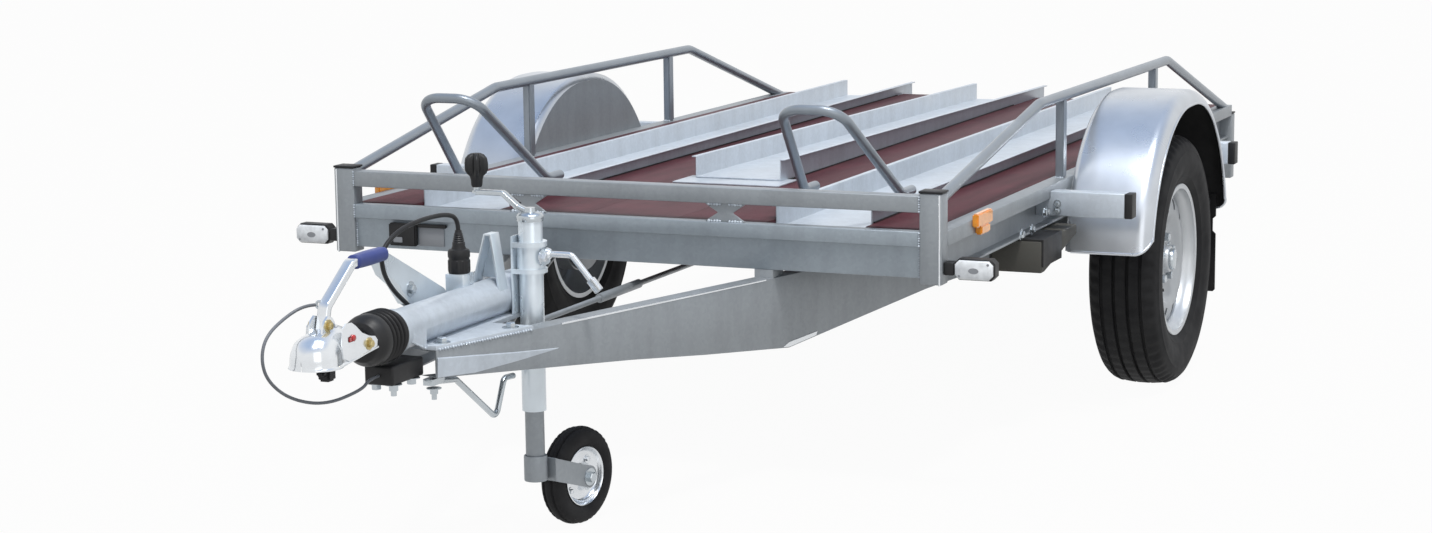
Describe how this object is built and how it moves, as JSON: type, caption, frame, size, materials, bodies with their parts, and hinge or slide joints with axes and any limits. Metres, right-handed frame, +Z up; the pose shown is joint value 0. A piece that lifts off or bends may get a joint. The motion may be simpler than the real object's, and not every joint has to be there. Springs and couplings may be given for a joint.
{
  "type": "motorcycle trailer",
  "caption": "Galvanised overrun trailer with wheel channels and front hoops for carrying motorcycles, standing on its jockey wheel.",
  "frame": {"origin": "on the ground, at the middle of the trailer's width and of its length without the free cables", "axes": "+X to the viewer's right from the front, +Y towards the rear so that the coupling points to -Y, +Z up"},
  "size_m": [1.874, 4.1818, 0.819],
  "materials": {
    "galvanised_steel": "satin",
    "bright_zinc": "gloss",
    "deck_plywood": "matte",
    "black_plastic": "matte",
    "black_rubber": "matte",
    "tyre_rubber": "matte",
    "silver_paint": "satin",
    "blue_plastic": "satin",
    "cable_sheath": "satin",
    "lamp_lens": "gloss",
    "orange_lens": "gloss",
    "red_lens": "gloss",
    "plate_grey": "matte",
    "chock_plastic": "matte"
  },
  "bodies": {
    "frame": {"front_cross_member": "galvanised_steel", "side_members": "galvanised_steel", "rear_cross_member": "galvanised_steel", "inner_cross_members": "galvanised_steel", "corner_posts": "galvanised_steel", "top_rail": "galvanised_steel", "side_railings": "galvanised_steel", "deck_boards": "deck_plywood", "outer_wheel_channels": "galvanised_steel", "centre_wheel_channel": "galvanised_steel", "channel_rest": "galvanised_steel", "wheel_hoops": "galvanised_steel", "outrigger_bars": "galvanised_steel", "end_caps": "black_plastic", "mudguards": "galvanised_steel", "mudflaps": "black_rubber", "axle": "galvanised_steel", "drawbar_beams": "galvanised_steel", "overrun_housing": "galvanised_steel", "bellows": "black_rubber", "coupling_head": "bright_zinc", "coupling_handle": "bright_zinc", "coupling_grip": "blue_plastic", "handbrake_lever": "galvanised_steel", "jockey_clamp": "galvanised_steel", "jockey_outer_tube": "galvanised_steel", "jockey_crank": "bright_zinc", "crank_grip": "black_plastic", "plug": "black_plastic", "cable_bracket": "bright_zinc", "electric_cable": "black_plastic", "breakaway_cable": "cable_sheath", "front_stop": "black_plastic", "guide_rod": "bright_zinc", "brake_rod": "galvanised_steel", "lamp_arms": "black_plastic", "front_lamps": "lamp_lens", "side_markers": "orange_lens", "rear_lamps": "red_lens", "blank_plates": "plate_grey", "wheel_chocks": "chock_plastic", "chock_holders": "black_plastic"},
    "wheel_left": {"tyre_left": "tyre_rubber", "rim_left": "silver_paint"},
    "wheel_right": {"tyre_right": "tyre_rubber", "rim_right": "silver_paint"},
    "jockey_leg": {"jockey_inner_tube": "galvanised_steel"},
    "jockey_fork": {"jockey_fork": "galvanised_steel"},
    "jockey_wheel": {"jockey_tyre": "tyre_rubber", "jockey_rim": "bright_zinc"}
  },
  "joints": [
    {"name": "wheel_left_spin", "type": "hinge", "parent": "frame", "child": "wheel_left", "pos_m": [-0.827, 0.5915, 0.313], "axis": [1, 0, 0], "continuous": true},
    {"name": "wheel_right_spin", "type": "hinge", "parent": "frame", "child": "wheel_right", "pos_m": [0.827, 0.5915, 0.313], "axis": [1, 0, 0], "continuous": true},
    {"name": "jockey_height", "type": "slide", "parent": "frame", "child": "jockey_leg", "axis": [0, 0, 1], "range_m": [-0.12, 0.09]},
    {"name": "jockey_swivel", "type": "hinge", "parent": "jockey_leg", "child": "jockey_fork", "pos_m": [0.068, -1.3295, 0.2], "axis": [0, 0, 1], "range_deg": [-135, 135]},
    {"name": "jockey_wheel_spin", "type": "hinge", "parent": "jockey_fork", "child": "jockey_wheel", "pos_m": [0.09426, -1.1981, 0.1], "axis": [0.9806, -0.1959, 0], "continuous": true}
  ]
}
